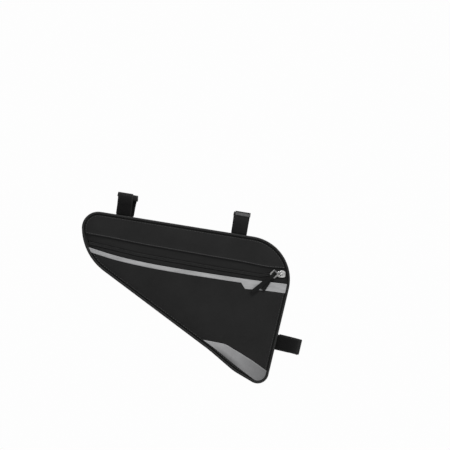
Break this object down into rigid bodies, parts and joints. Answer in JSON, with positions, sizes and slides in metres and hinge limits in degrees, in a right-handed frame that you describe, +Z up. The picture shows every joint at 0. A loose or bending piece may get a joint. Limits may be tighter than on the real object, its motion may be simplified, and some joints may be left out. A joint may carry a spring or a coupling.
{
  "type": "bicycle frame bag",
  "caption": "Triangular zip bag with corded edges that hangs by three hook-and-loop straps in the corner of a bicycle frame.",
  "frame": {"origin": "on the axis of the upper tube that the bag hangs from, midway between the two top straps", "axes": "+X along the upper tube towards the bicycle's rear, +Y away from the zip side, +Z up, square to the tube"},
  "size_m": [0.3094, 0.0632, 0.2193],
  "materials": {
    "woven_cloth": "matte woven polyester, near black",
    "piping_tape": "fine woven binding over a cord, black",
    "zip_tape": "fine twill zip tape, black",
    "chain_nylon": "black nylon zip coil",
    "reflective_grey": "light grey reflective tape with a faint rib",
    "patch_grey": "smooth mid-grey reflective film",
    "hook_and_loop": "black brushed loop pile",
    "pull_tape": "narrow black woven tape",
    "nickel": "bright nickel plate, lightly rubbed"
  },
  "bodies": {
    "bag": {"gusset": "woven_cloth", "front_panel_upper": "woven_cloth", "front_panel_lower": "woven_cloth", "back_panel": "woven_cloth", "piping_front": "piping_tape", "piping_back": "piping_tape", "zip_tape_upper": "zip_tape", "zip_tape_lower": "zip_tape", "zip_chain": "chain_nylon", "reflective_stripe": "reflective_grey", "corner_patch": "patch_grey", "top_strap_front": "hook_and_loop", "top_strap_rear": "hook_and_loop", "seat_strap": "hook_and_loop", "zip_slider": "nickel"},
    "pull": {"pull_tab": "nickel", "pull_strap": "pull_tape"}
  },
  "joints": [
    {"name": "pull_hinge", "type": "hinge", "parent": "bag", "child": "pull", "pos_m": [0.13973, -0.02912, -0.05556], "axis": [-0.1629, 0.0474, 0.9855], "range_deg": [0, 150]}
  ]
}
